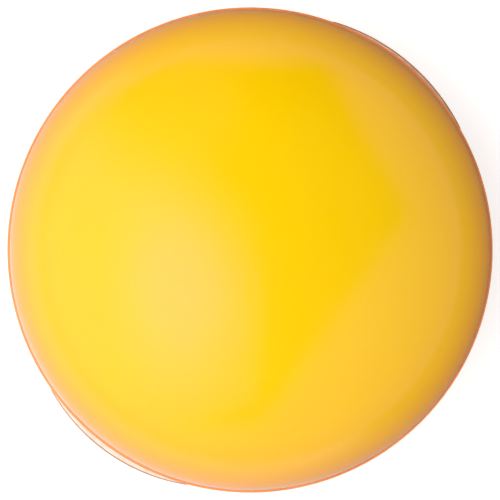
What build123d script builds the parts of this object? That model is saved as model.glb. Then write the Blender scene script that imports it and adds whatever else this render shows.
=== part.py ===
from build123d import *
from math import acos, asin, cos, degrees, radians, sin, sqrt
import os

# Rolling curling stone for play on a floor, millimetres.
# The floor is z = 0, the stone's axis is Z, and the origin is on the floor under its centre.

# --- Driving dimensions -------------------------------------------------------------------------
SHELL_RADIUS = 98.0  # both casing halves, at the seam; the band stands proud of them
BAND_RADIUS = 100.0  # striking band, at its crown
SEAM_LOW = 30.0  # top of the bottom shell's outer wall
SEAM_HIGH = 50.0  # bottom of the top shell's outer wall
DOME_RISE = 55.0  # from the top shell's edge to the crown of the dome
GATE_ANGLE = 0.5  # degrees about the crown that the mould's gate leaves flat
BOWL_DEPTH = 42.0  # half height of the ellipse that the bottom shell follows
BASE_HEIGHT = 5.0  # flat underside of the bottom shell
WALL = 3.5
BASE_PLATE = 4.0
RIM_ROUND = 0.5  # both shells' outer edges, beside the band
BASE_ROUND = 1.5

# Tongue of the top shell, spigot of the bottom shell, and the seal between them
TONGUE_OUTER = 95.0
TONGUE_INNER = 91.6
TONGUE_LOW = 26.5
SPIGOT_OUTER = 91.4
SPIGOT_INNER = 88.0
SPIGOT_TOP = 46.0
LIP_GROOVE_OUTER = 96.5
LIP_GROOVE_DEPTH = 1.7
SLOT_LOW = 26.0
SEAL_HEIGHT = 43.0
SEAL_SECTION = 0.8
SEAL_GAP = 0.05
SEAL_GROOVE_RADIUS = 89.9
SEAL_GROOVE_HALF = 1.0

# Striking band and its two finger grips
BAND_GAP = 0.4
BAND_INNER = 95.2
BAND_LIP_OUTER = 96.3
BAND_LIP_HEIGHT = 1.4
BAND_EDGE_RADIUS = 99.2
BAND_ROUND = 0.8
BAND_MIDDLE = (SEAM_LOW + SEAM_HIGH) / 2
GRIPS = {"thumb_grip": (50.0, 101.2), "finger_grip": (235.0, 102.0)}  # angle and crown radius
GRIP_HALF_SPAN = 20.0
GRIP_HEIGHT = 14.0
GRIP_BACK_RADIUS = 98.1
GRIP_GROOVE_DEPTH = 0.5
GRIP_RIDGES = 5
GRIP_RIDGE_HEIGHT = 1.8
GRIP_PEG_RADIUS = 1.5
GRIP_PEG_OFFSET = 9.0
GRIP_PEG_RECESS = 0.3
GRIP_PEG_ROOT = 0.8
GRIP_PEG_CLEARANCE = 0.1
GRIP_CLEARANCE = 0.12
GRIP_END_CLEARANCE = 0.3  # degrees

# Case screws, their posts and inserts
CASE_ANGLES = [8.0, 52.0, 128.0, 172.0, 248.0, 292.0]
CASE_CIRCLE = 63.0
POST_SPLIT = 40.0
CASE_SCREW_SEAT = 24.0
CASE_SCREW_RADIUS = 2.5
CASE_SCREW_LENGTH = 30.0
CASE_HEAD_RADIUS = 4.25
CASE_HEAD_HEIGHT = 5.0
CASE_SOCKET_RADIUS = 2.3
CASE_SOCKET_DEPTH = 3.0
CASE_SCREW_CLEARANCE = 0.3
CASE_TIP_ROOM = 3.0
CASE_INSERT_RADIUS = 3.6
CASE_INSERT_LENGTH = 9.5
INSERT_FIT = 0.05
INSERT_SINK = 0.2
INSERT_ROOM = 0.5
THREAD_FIT = 0.05
COUNTERBORE_RADIUS = 5.2
LOW_POST_RADIUS = 7.5
HIGH_POST_RADIUS = 6.5
PLUG_RADIUS = 5.1
PLUG_HEIGHT = 4.0
PLUG_CHAMFER = 0.4
WEB_THICKNESS = 2.4
WEB_ROOT = 2.0  # how far a web runs into the post and the wall that it joins
HIGH_WEB_LIFT = 4.0  # from the seam up to the top shell's webs

# Ballast casting, its pad and its bolts
BALLAST_RADIUS = 54.5
BALLAST_CORE_RADIUS = 12.0
PAD_HEIGHT = 2.5
BALLAST_HEIGHT = 36.0
BALLAST_CHAMFER = 1.2
BALLAST_CLEARANCE = 2.8  # round the ball units
BALLAST_BOLT_CIRCLE = 28.0
BALLAST_BOLT_ANGLES = [30.0, 150.0, 270.0]
BALLAST_SEAT = 33.0
BOLT_RADIUS = 3.0
BOLT_LENGTH = 20.0
BOLT_HEAD_RADIUS = 5.0
BOLT_HEAD_HEIGHT = 6.0
BOLT_SOCKET_RADIUS = 2.9
BOLT_SOCKET_DEPTH = 3.2
BOLT_CLEARANCE = 0.4
WASHER_RADIUS = 6.4
WASHER_HEIGHT = 1.6
WASHER_CLEARANCE = 0.2
BOLT_RECESS_RADIUS = 7.2
BOSS_RADIUS = 7.0
BOSS_TOP = 20.0
BOSS_CLEARANCE = 0.6
BOSS_INSERT_RADIUS = 4.05
BOSS_INSERT_LENGTH = 9.0

# Glide ring
GLIDE_INNER = 70.5
GLIDE_OUTER = 77.0
GLIDE_LOW = 3.0
GLIDE_GROOVE_TOP = 7.5
GLIDE_CLEARANCE = 0.1
GLIDE_CHAMFER = 0.6

# Ball transfer units
UNIT_ANGLES = [90.0, 210.0, 330.0]
UNIT_CIRCLE = 50.0
BALL_RADIUS = 7.9375  # a 5/8 inch ball
SMALL_BALL_RADIUS = 1.5875  # a 1/8 inch ball
# Rings of small balls between the main ball and its cup: degrees from the vertical, and how many.
SMALL_BALL_RINGS = [(0.0, 1), (21.0, 6), (41.0, 12), (61.0, 16)]
BALL_GAP = 0.05
CUP_GAP = 0.03
CUP_WALL = 2.0
CUP_LOW = 7.4
HOUSING_GAP = 0.06
HOUSING_RADIUS = 16.5
HOUSING_TOP = 23.5
HOUSING_ROUND = 3.0
HOUSING_CLEARANCE = 0.15
FLANGE_RADIUS = 17.5
FLANGE_HEIGHT = 3.0
FLANGE_CLEARANCE = 0.2
EAR_OFFSET = 21.0
EAR_RADIUS = 5.0
CAP_LOW = 4.4
CAP_PLATE = 1.0
CAP_OPENING = 7.66
CAP_LIP = 0.15
CAP_SKIRT = 0.8
CAP_CHAMFER = 0.8
CAP_TOP = 10.0
FELT_INNER = 8.08
FELT_OUTER = 11.0
FELT_HEIGHT = 1.7
UNIT_SCREW_RADIUS = 1.5
UNIT_SCREW_HEAD_RADIUS = 2.9
UNIT_SCREW_HEAD_ANGLE = 90
UNIT_SCREW_LENGTH = 12.0
UNIT_SCREW_POINT = 1.0
UNIT_SCREW_CLEARANCE = 0.2
UNIT_TIP_ROOM = 1.0
CROSS_LENGTH = 2.6
CROSS_WIDTH = 0.7
CROSS_DEPTH = 1.0
UNIT_BOSS_RADIUS = 4.2
UNIT_BOSS_TOP = 19.0
UNIT_PAD_TOP = 12.0
UNIT_PAD_MARGIN = 2.2

OVERCUT = 1.0  # how far a cut runs past the surface that it opens

# --- Worked out from them -----------------------------------------------------------------------
FLOOR_TOP = BASE_HEIGHT + BASE_PLATE
SMALL_BALL_CIRCLE = BALL_RADIUS + BALL_GAP + SMALL_BALL_RADIUS
CUP_INNER = SMALL_BALL_CIRCLE + SMALL_BALL_RADIUS + CUP_GAP
CUP_OUTER = CUP_INNER + CUP_WALL
CAP_SKIRT_INNER = CUP_OUTER + HOUSING_GAP
CAP_OUTER = CAP_SKIRT_INNER + CAP_SKIRT
DOME_INNER_RADIUS = SHELL_RADIUS - WALL
DOME_INNER_RISE = DOME_RISE - WALL
BOWL_INNER_DEPTH = BOWL_DEPTH - WALL
PAD_TOP = FLOOR_TOP + PAD_HEIGHT
BALLAST_TOP = PAD_TOP + BALLAST_HEIGHT
FLANGE_TOP = BASE_HEIGHT + FLANGE_HEIGHT

Z_AXIS = Axis((0, 0, 0), (0, 0, 1))


def on_circle(radius, angles):
    """Points on a circle round the stone's axis, one for each angle in degrees."""
    return [(radius * cos(radians(a)), radius * sin(radians(a))) for a in angles]


def level(height):
    """A horizontal plane at this height, to draw a plan on."""
    return Plane.XY.offset(height)


def unit_level(angle, height):
    """A horizontal plane centred on one ball unit, with its X pointing away from the stone's axis."""
    x, y = on_circle(UNIT_CIRCLE, [angle])[0]
    return Plane(origin=(x, y, height), x_dir=(x, y, 0), z_dir=(0, 0, 1))


def unit_section(angle):
    """An upright plane through one ball unit's own axis, with its Y up and its origin on the floor."""
    x, y = on_circle(UNIT_CIRCLE, [angle])[0]
    return Plane(origin=(x, y, 0), x_dir=(x, y, 0), z_dir=(y, -x, 0))


def unit_axis(angle):
    """The upright axis of one ball unit."""
    x, y = on_circle(UNIT_CIRCLE, [angle])[0]
    return Axis((x, y, 0), (0, 0, 1))


def outward_plane(angle, radius, height):
    """A plane that faces away from the stone's axis, to draw a radial peg or hole on."""
    x, y = on_circle(radius, [angle])[0]
    return Plane(origin=(x, y, height), z_dir=(x, y, 0))


def webs(angles, inner, outer):
    """A plan of thin upright walls that run outwards between two radii, one for each angle."""
    with BuildSketch() as plan:
        for angle in angles:
            middle = on_circle((inner + outer) / 2, [angle])[0]
            with Locations(Location((*middle, 0), (0, 0, angle))):
                Rectangle(outer - inner, WEB_THICKNESS)
    return plan.sketch


def flange_outline(extra):
    """The ball unit's two-eared flange, grown by extra all round."""
    with BuildSketch() as outline:
        Circle(FLANGE_RADIUS + extra)
        with Locations((0, EAR_OFFSET), (0, -EAR_OFFSET)):
            Circle(EAR_RADIUS + extra)
        make_hull()
    return outline.sketch


def grip_outline(angle, crown, back, half_span):
    """A crescent on the band: its back follows the band and its front bulges out to the crown."""
    first, last = on_circle(BAND_RADIUS, [angle - half_span, angle + half_span])
    with BuildSketch() as outline:
        with BuildLine():
            rear = CenterArc((0, 0), back, angle - half_span, 2 * half_span)
            front = ThreePointArc(first, on_circle(crown, [angle])[0], last)
            Line(rear @ 0, front @ 0)
            Line(rear @ 1, front @ 1)
        make_face()
    return outline.sketch


def write(piece, name):
    """Label a finished piece and save it under the same name."""
    piece.part.label = name
    export_step(piece.part, f"parts/{name}.step")


os.makedirs("parts", exist_ok=True)

# --- Top shell: a dome, its locating tongue, six screw posts and six webs -----------------------
# The dome's curve stops half a degree short of its axis, at the small flat left by the mould's gate.
dome_start = degrees(acos(TONGUE_INNER / DOME_INNER_RADIUS))
dome_end = 90 - GATE_ANGLE

with BuildPart() as top_hollow:
    with BuildSketch(Plane.XZ):
        with BuildLine():
            roof = EllipticalCenterArc(
                (0, SEAM_HIGH),
                DOME_INNER_RADIUS,
                DOME_INNER_RISE,
                dome_start,
                arc_size=dome_end - dome_start,
            )
            Polyline(roof @ 0, (TONGUE_INNER, TONGUE_LOW), (0, TONGUE_LOW), (0, (roof @ 1).Y), roof @ 1)
        make_face()
    revolve(axis=Z_AXIS)
    with BuildSketch(level(POST_SPLIT)):
        with Locations(*on_circle(CASE_CIRCLE, CASE_ANGLES)):
            Circle(HIGH_POST_RADIUS)
    extrude(amount=SEAM_HIGH + DOME_RISE - POST_SPLIT, mode=Mode.SUBTRACT)
    with BuildSketch(level(SEAM_HIGH + HIGH_WEB_LIFT)):
        add(webs(CASE_ANGLES, CASE_CIRCLE + WEB_ROOT, TONGUE_INNER + WEB_ROOT))
    extrude(amount=DOME_RISE, mode=Mode.SUBTRACT)

with BuildPart() as top_shell:
    with BuildSketch(Plane.XZ):
        with BuildLine():
            dome = EllipticalCenterArc((0, SEAM_HIGH), SHELL_RADIUS, DOME_RISE, 0, arc_size=dome_end)
            Polyline(
                dome @ 0,
                (LIP_GROOVE_OUTER, SEAM_HIGH),
                (LIP_GROOVE_OUTER, SEAM_HIGH + LIP_GROOVE_DEPTH),
                (TONGUE_OUTER, SEAM_HIGH + LIP_GROOVE_DEPTH),
                (TONGUE_OUTER, TONGUE_LOW),
                (0, TONGUE_LOW),
                (0, (dome @ 1).Y),
                dome @ 1,
            )
        make_face()
    revolve(axis=Z_AXIS)
    rim = top_shell.edges().filter_by_position(Axis.Z, SEAM_HIGH, SEAM_HIGH).sort_by(SortBy.RADIUS)[-1]
    fillet(rim, RIM_ROUND)
    add(top_hollow.part, mode=Mode.SUBTRACT)
    with BuildSketch(level(POST_SPLIT)):
        with Locations(*on_circle(CASE_CIRCLE, CASE_ANGLES)):
            Circle(CASE_INSERT_RADIUS + INSERT_FIT)
    extrude(amount=CASE_INSERT_LENGTH + INSERT_ROOM, mode=Mode.SUBTRACT)
    with BuildSketch(level(POST_SPLIT)):
        with Locations(*on_circle(CASE_CIRCLE, CASE_ANGLES)):
            Circle(CASE_SCREW_RADIUS + CASE_SCREW_CLEARANCE)
    extrude(amount=CASE_SCREW_SEAT + CASE_SCREW_LENGTH + CASE_TIP_ROOM - POST_SPLIT, mode=Mode.SUBTRACT)
write(top_shell, "top_shell")

# --- Bottom shell: a flat-bottomed bowl with posts, bosses, ribs and three unit seats -----------
base_start = degrees(asin((BASE_HEIGHT - SEAM_LOW) / BOWL_DEPTH))
bowl_low = degrees(asin((FLOOR_TOP - SEAM_LOW) / BOWL_INNER_DEPTH))
bowl_high = -degrees(acos(SPIGOT_INNER / DOME_INNER_RADIUS))

with BuildPart() as bottom_hollow:
    with BuildSketch(Plane.XZ):
        with BuildLine():
            bowl = EllipticalCenterArc(
                (0, SEAM_LOW),
                DOME_INNER_RADIUS,
                BOWL_INNER_DEPTH,
                bowl_low,
                arc_size=bowl_high - bowl_low,
            )
            Polyline(bowl @ 1, (SPIGOT_INNER, SPIGOT_TOP), (0, SPIGOT_TOP), (0, FLOOR_TOP), bowl @ 0)
        make_face()
    revolve(axis=Z_AXIS)
    with BuildSketch(level(FLOOR_TOP)):
        with Locations(*on_circle(CASE_CIRCLE, CASE_ANGLES)):
            Circle(LOW_POST_RADIUS)
    extrude(amount=POST_SPLIT - FLOOR_TOP, mode=Mode.SUBTRACT)
    with BuildSketch(level(FLOOR_TOP)):
        with Locations(*on_circle(BALLAST_BOLT_CIRCLE, BALLAST_BOLT_ANGLES)):
            Circle(BOSS_RADIUS)
    extrude(amount=BOSS_TOP - FLOOR_TOP, mode=Mode.SUBTRACT)
    with BuildSketch(level(FLOOR_TOP)):
        add(webs(CASE_ANGLES, CASE_CIRCLE + WEB_ROOT, SPIGOT_INNER + WEB_ROOT))
    extrude(amount=BOSS_TOP - FLOOR_TOP, mode=Mode.SUBTRACT)
    for angle in UNIT_ANGLES:
        with BuildSketch(unit_level(angle, FLOOR_TOP)):
            add(flange_outline(UNIT_PAD_MARGIN))
        extrude(amount=UNIT_PAD_TOP - FLOOR_TOP, mode=Mode.SUBTRACT)
        with BuildSketch(unit_level(angle, FLOOR_TOP)):
            with Locations((0, EAR_OFFSET), (0, -EAR_OFFSET)):
                Circle(UNIT_BOSS_RADIUS)
        extrude(amount=UNIT_BOSS_TOP - FLOOR_TOP, mode=Mode.SUBTRACT)

with BuildPart() as bottom_shell:
    with BuildSketch(Plane.XZ):
        with BuildLine():
            keel = EllipticalCenterArc(
                (0, SEAM_LOW), SHELL_RADIUS, BOWL_DEPTH, base_start, arc_size=-base_start
            )
            Polyline(
                keel @ 1,
                (LIP_GROOVE_OUTER, SEAM_LOW),
                (LIP_GROOVE_OUTER, SLOT_LOW),
                (SPIGOT_OUTER, SLOT_LOW),
                (SPIGOT_OUTER, SEAL_HEIGHT - SEAL_GROOVE_HALF),
                (SEAL_GROOVE_RADIUS, SEAL_HEIGHT - SEAL_GROOVE_HALF),
                (SEAL_GROOVE_RADIUS, SEAL_HEIGHT + SEAL_GROOVE_HALF),
                (SPIGOT_OUTER, SEAL_HEIGHT + SEAL_GROOVE_HALF),
                (SPIGOT_OUTER, SPIGOT_TOP),
                (0, SPIGOT_TOP),
                (0, BASE_HEIGHT),
                keel @ 0,
            )
        make_face()
    revolve(axis=Z_AXIS)
    edge = bottom_shell.edges().filter_by_position(Axis.Z, SEAM_LOW, SEAM_LOW).sort_by(SortBy.RADIUS)[-1]
    fillet(edge, RIM_ROUND)
    fillet(bottom_shell.faces().sort_by(Axis.Z)[0].edges(), BASE_ROUND)
    add(bottom_hollow.part, mode=Mode.SUBTRACT)
    # case screws: a deep counterbore from below and a clearance hole above its seat
    with BuildSketch(level(BASE_HEIGHT)):
        with Locations(*on_circle(CASE_CIRCLE, CASE_ANGLES)):
            Circle(COUNTERBORE_RADIUS)
    extrude(amount=CASE_SCREW_SEAT - BASE_HEIGHT, mode=Mode.SUBTRACT)
    with BuildSketch(level(CASE_SCREW_SEAT)):
        with Locations(*on_circle(CASE_CIRCLE, CASE_ANGLES)):
            Circle(CASE_SCREW_RADIUS + CASE_SCREW_CLEARANCE)
    extrude(amount=POST_SPLIT - CASE_SCREW_SEAT, mode=Mode.SUBTRACT)
    # ballast bosses: blind holes for the threaded inserts
    with BuildSketch(level(BOSS_TOP)):
        with Locations(*on_circle(BALLAST_BOLT_CIRCLE, BALLAST_BOLT_ANGLES)):
            Circle(BOSS_INSERT_RADIUS + INSERT_FIT)
    extrude(amount=-(BOSS_INSERT_LENGTH + INSERT_ROOM), mode=Mode.SUBTRACT)
    # groove for the glide ring
    with BuildSketch(level(BASE_HEIGHT)):
        Circle(GLIDE_OUTER + GLIDE_CLEARANCE)
        Circle(GLIDE_INNER - GLIDE_CLEARANCE, mode=Mode.SUBTRACT)
    extrude(amount=GLIDE_GROOVE_TOP - BASE_HEIGHT, mode=Mode.SUBTRACT)
    # a seat, a through hole and two screw holes for each ball unit
    for angle in UNIT_ANGLES:
        with BuildSketch(unit_level(angle, BASE_HEIGHT)):
            add(flange_outline(FLANGE_CLEARANCE))
        extrude(amount=FLANGE_HEIGHT, mode=Mode.SUBTRACT)
        with BuildSketch(unit_level(angle, FLANGE_TOP)):
            Circle(HOUSING_RADIUS + HOUSING_CLEARANCE)
        extrude(amount=UNIT_PAD_TOP - FLANGE_TOP, mode=Mode.SUBTRACT)
        with BuildSketch(unit_level(angle, FLANGE_TOP)):
            with Locations((0, EAR_OFFSET), (0, -EAR_OFFSET)):
                Circle(UNIT_SCREW_RADIUS + THREAD_FIT)
        extrude(amount=UNIT_SCREW_LENGTH - FLANGE_HEIGHT + UNIT_TIP_ROOM, mode=Mode.SUBTRACT)
write(bottom_shell, "bottom_shell")

# --- Seal ring in the spigot's groove -----------------------------------------------------------
with BuildPart() as seam_seal:
    with BuildSketch(Plane.XZ):
        with Locations((SEAL_GROOVE_RADIUS + SEAL_SECTION + SEAL_GAP, SEAL_HEIGHT)):
            Circle(SEAL_SECTION)
    revolve(axis=Z_AXIS)
write(seam_seal, "seam_seal")

# --- Striking band: a crowned belt whose lips hook into both shells -----------------------------
band_low = SEAM_LOW + BAND_GAP
band_high = SEAM_HIGH - BAND_GAP

with BuildPart() as striking_band:
    with BuildSketch(Plane.XZ):
        with BuildLine():
            crown = ThreePointArc(
                (BAND_EDGE_RADIUS, band_low), (BAND_RADIUS, BAND_MIDDLE), (BAND_EDGE_RADIUS, band_high)
            )
            Polyline(
                crown @ 1,
                (BAND_LIP_OUTER, band_high),
                (BAND_LIP_OUTER, SEAM_HIGH + BAND_LIP_HEIGHT),
                (BAND_INNER, SEAM_HIGH + BAND_LIP_HEIGHT),
                (BAND_INNER, SEAM_LOW - BAND_LIP_HEIGHT),
                (BAND_LIP_OUTER, SEAM_LOW - BAND_LIP_HEIGHT),
                (BAND_LIP_OUTER, band_low),
                crown @ 0,
            )
        make_face()
    revolve(axis=Z_AXIS)
    corners = striking_band.edges().filter_by(GeomType.CIRCLE).group_by(SortBy.RADIUS)[-1]
    fillet(corners, BAND_ROUND)
    for angle, crown_radius in GRIPS.values():
        pocket_low = BAND_MIDDLE - GRIP_HEIGHT / 2 - GRIP_CLEARANCE
        with BuildSketch(level(pocket_low)):
            pocket_back = GRIP_BACK_RADIUS - GRIP_CLEARANCE
            pocket_half_span = GRIP_HALF_SPAN + GRIP_END_CLEARANCE
            add(grip_outline(angle, crown_radius + OVERCUT, pocket_back, pocket_half_span))
        extrude(amount=GRIP_HEIGHT + 2 * GRIP_CLEARANCE, mode=Mode.SUBTRACT)
        for offset in (-GRIP_PEG_OFFSET, GRIP_PEG_OFFSET):
            with BuildSketch(outward_plane(angle + offset, BAND_INNER - OVERCUT, BAND_MIDDLE)):
                Circle(GRIP_PEG_RADIUS + GRIP_PEG_CLEARANCE)
            extrude(amount=GRIP_BACK_RADIUS - BAND_INNER + 2 * OVERCUT, mode=Mode.SUBTRACT)
write(striking_band, "striking_band")

# --- Finger grips: ridged crescents pegged into the band ----------------------------------------
ridge_pitch = (GRIP_HEIGHT - GRIP_RIDGE_HEIGHT) / (GRIP_RIDGES - 1)
grip_low = BAND_MIDDLE - GRIP_HEIGHT / 2
peg_tip = BAND_INNER + GRIP_PEG_RECESS

for name, (angle, crown_radius) in GRIPS.items():
    with BuildPart() as grip:
        with BuildSketch(level(grip_low)):
            add(grip_outline(angle, crown_radius - GRIP_GROOVE_DEPTH, GRIP_BACK_RADIUS, GRIP_HALF_SPAN))
        extrude(amount=GRIP_HEIGHT)
        for ridge in range(GRIP_RIDGES):
            with BuildSketch(level(grip_low + ridge * ridge_pitch)):
                add(grip_outline(angle, crown_radius, GRIP_BACK_RADIUS, GRIP_HALF_SPAN))
            extrude(amount=GRIP_RIDGE_HEIGHT)
        for offset in (-GRIP_PEG_OFFSET, GRIP_PEG_OFFSET):
            with BuildSketch(outward_plane(angle + offset, peg_tip, BAND_MIDDLE)):
                Circle(GRIP_PEG_RADIUS)
            extrude(amount=GRIP_BACK_RADIUS + GRIP_PEG_ROOT - peg_tip)
    write(grip, name)

# --- Case fasteners -----------------------------------------------------------------------------
with BuildPart() as case_screws:
    with BuildSketch(level(CASE_SCREW_SEAT)):
        with Locations(*on_circle(CASE_CIRCLE, CASE_ANGLES)):
            Circle(CASE_HEAD_RADIUS)
    extrude(amount=-CASE_HEAD_HEIGHT)
    with BuildSketch(level(CASE_SCREW_SEAT)):
        with Locations(*on_circle(CASE_CIRCLE, CASE_ANGLES)):
            Circle(CASE_SCREW_RADIUS)
    extrude(amount=CASE_SCREW_LENGTH)
    with BuildSketch(level(CASE_SCREW_SEAT - CASE_HEAD_HEIGHT)):
        with Locations(*on_circle(CASE_CIRCLE, CASE_ANGLES)):
            RegularPolygon(CASE_SOCKET_RADIUS, 6)
    extrude(amount=CASE_SOCKET_DEPTH, mode=Mode.SUBTRACT)
write(case_screws, "case_screws")

with BuildPart() as case_inserts:
    with BuildSketch(level(POST_SPLIT + INSERT_SINK)):
        with Locations(*on_circle(CASE_CIRCLE, CASE_ANGLES)):
            Circle(CASE_INSERT_RADIUS)
            Circle(CASE_SCREW_RADIUS + THREAD_FIT, mode=Mode.SUBTRACT)
    extrude(amount=CASE_INSERT_LENGTH)
write(case_inserts, "case_inserts")

with BuildPart() as screw_plugs:
    with BuildSketch(level(BASE_HEIGHT)):
        with Locations(*on_circle(CASE_CIRCLE, CASE_ANGLES)):
            Circle(PLUG_RADIUS)
    extrude(amount=PLUG_HEIGHT)
    chamfer(screw_plugs.edges().filter_by(GeomType.CIRCLE), PLUG_CHAMFER)
write(screw_plugs, "screw_plugs")

# --- Ballast: a pad, a three-lobed casting and its bolts ----------------------------------------
with BuildPart() as ballast_pad:
    with BuildSketch(level(FLOOR_TOP)):
        Circle(BALLAST_RADIUS)
        Circle(BALLAST_CORE_RADIUS, mode=Mode.SUBTRACT)
        with Locations(*on_circle(BALLAST_BOLT_CIRCLE, BALLAST_BOLT_ANGLES)):
            Circle(BOSS_RADIUS + BOSS_CLEARANCE, mode=Mode.SUBTRACT)
    extrude(amount=PAD_HEIGHT)
    for angle in UNIT_ANGLES:
        with BuildSketch(unit_level(angle, FLOOR_TOP)):
            add(flange_outline(BALLAST_CLEARANCE))
        extrude(amount=PAD_HEIGHT, mode=Mode.SUBTRACT)
write(ballast_pad, "ballast_pad")

with BuildPart() as ballast_weight:
    with BuildSketch(level(PAD_TOP)):
        Circle(BALLAST_RADIUS)
        Circle(BALLAST_CORE_RADIUS, mode=Mode.SUBTRACT)
    extrude(amount=BALLAST_HEIGHT)
    for angle in UNIT_ANGLES:
        with BuildSketch(unit_level(angle, PAD_TOP)):
            add(flange_outline(BALLAST_CLEARANCE))
        extrude(amount=BALLAST_HEIGHT, mode=Mode.SUBTRACT)
    chamfer(ballast_weight.faces().sort_by(Axis.Z)[-1].edges(), BALLAST_CHAMFER)
    with BuildSketch(level(PAD_TOP)):
        with Locations(*on_circle(BALLAST_BOLT_CIRCLE, BALLAST_BOLT_ANGLES)):
            Circle(BOSS_RADIUS + BOSS_CLEARANCE)
    extrude(amount=BOSS_TOP + BOSS_CLEARANCE - PAD_TOP, mode=Mode.SUBTRACT)
    with BuildSketch(level(BALLAST_TOP)):
        with Locations(*on_circle(BALLAST_BOLT_CIRCLE, BALLAST_BOLT_ANGLES)):
            Circle(BOLT_RECESS_RADIUS)
    extrude(amount=BALLAST_SEAT - BALLAST_TOP, mode=Mode.SUBTRACT)
    with BuildSketch(level(PAD_TOP)):
        with Locations(*on_circle(BALLAST_BOLT_CIRCLE, BALLAST_BOLT_ANGLES)):
            Circle(BOLT_RADIUS + BOLT_CLEARANCE)
    extrude(amount=BALLAST_HEIGHT, mode=Mode.SUBTRACT)
write(ballast_weight, "ballast_weight")

with BuildPart() as ballast_washers:
    with BuildSketch(level(BALLAST_SEAT)):
        with Locations(*on_circle(BALLAST_BOLT_CIRCLE, BALLAST_BOLT_ANGLES)):
            Circle(WASHER_RADIUS)
            Circle(BOLT_RADIUS + WASHER_CLEARANCE, mode=Mode.SUBTRACT)
    extrude(amount=WASHER_HEIGHT)
write(ballast_washers, "ballast_washers")

with BuildPart() as ballast_bolts:
    with BuildSketch(level(BALLAST_SEAT + WASHER_HEIGHT)):
        with Locations(*on_circle(BALLAST_BOLT_CIRCLE, BALLAST_BOLT_ANGLES)):
            Circle(BOLT_HEAD_RADIUS)
    extrude(amount=BOLT_HEAD_HEIGHT)
    with BuildSketch(level(BALLAST_SEAT + WASHER_HEIGHT)):
        with Locations(*on_circle(BALLAST_BOLT_CIRCLE, BALLAST_BOLT_ANGLES)):
            Circle(BOLT_RADIUS)
    extrude(amount=-BOLT_LENGTH)
    with BuildSketch(level(BALLAST_SEAT + WASHER_HEIGHT + BOLT_HEAD_HEIGHT)):
        with Locations(*on_circle(BALLAST_BOLT_CIRCLE, BALLAST_BOLT_ANGLES)):
            RegularPolygon(BOLT_SOCKET_RADIUS, 6)
    extrude(amount=-BOLT_SOCKET_DEPTH, mode=Mode.SUBTRACT)
write(ballast_bolts, "ballast_bolts")

with BuildPart() as ballast_inserts:
    with BuildSketch(level(BOSS_TOP - INSERT_SINK)):
        with Locations(*on_circle(BALLAST_BOLT_CIRCLE, BALLAST_BOLT_ANGLES)):
            Circle(BOSS_INSERT_RADIUS)
            Circle(BOLT_RADIUS + THREAD_FIT, mode=Mode.SUBTRACT)
    extrude(amount=-BOSS_INSERT_LENGTH)
write(ballast_inserts, "ballast_inserts")

# --- Glide ring ---------------------------------------------------------------------------------
with BuildPart() as glide_ring:
    with BuildSketch(level(GLIDE_LOW)):
        Circle(GLIDE_OUTER)
        Circle(GLIDE_INNER, mode=Mode.SUBTRACT)
    extrude(amount=GLIDE_GROOVE_TOP - GLIDE_LOW)
    chamfer(glide_ring.faces().sort_by(Axis.Z)[0].edges(), GLIDE_CHAMFER)
write(glide_ring, "glide_ring")

# --- Ball transfer units ------------------------------------------------------------------------
def small_ball_centres(angle):
    """Centres of one unit's small balls, on a sphere about its main ball."""
    x, y = on_circle(UNIT_CIRCLE, [angle])[0]
    centres = []
    for tilt, count in SMALL_BALL_RINGS:
        ring_radius = SMALL_BALL_CIRCLE * sin(radians(tilt))
        height = BALL_RADIUS + SMALL_BALL_CIRCLE * cos(radians(tilt))
        for step in range(count):
            turn = radians(angle + 360 * step / count)
            centres.append((x + ring_radius * cos(turn), y + ring_radius * sin(turn), height))
    return centres


def sphere_radius_at(radius, height):
    """Radius of a sphere about the main ball's centre, where a level plane at this height cuts it."""
    return sqrt(radius**2 - (height - BALL_RADIUS) ** 2)


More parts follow.
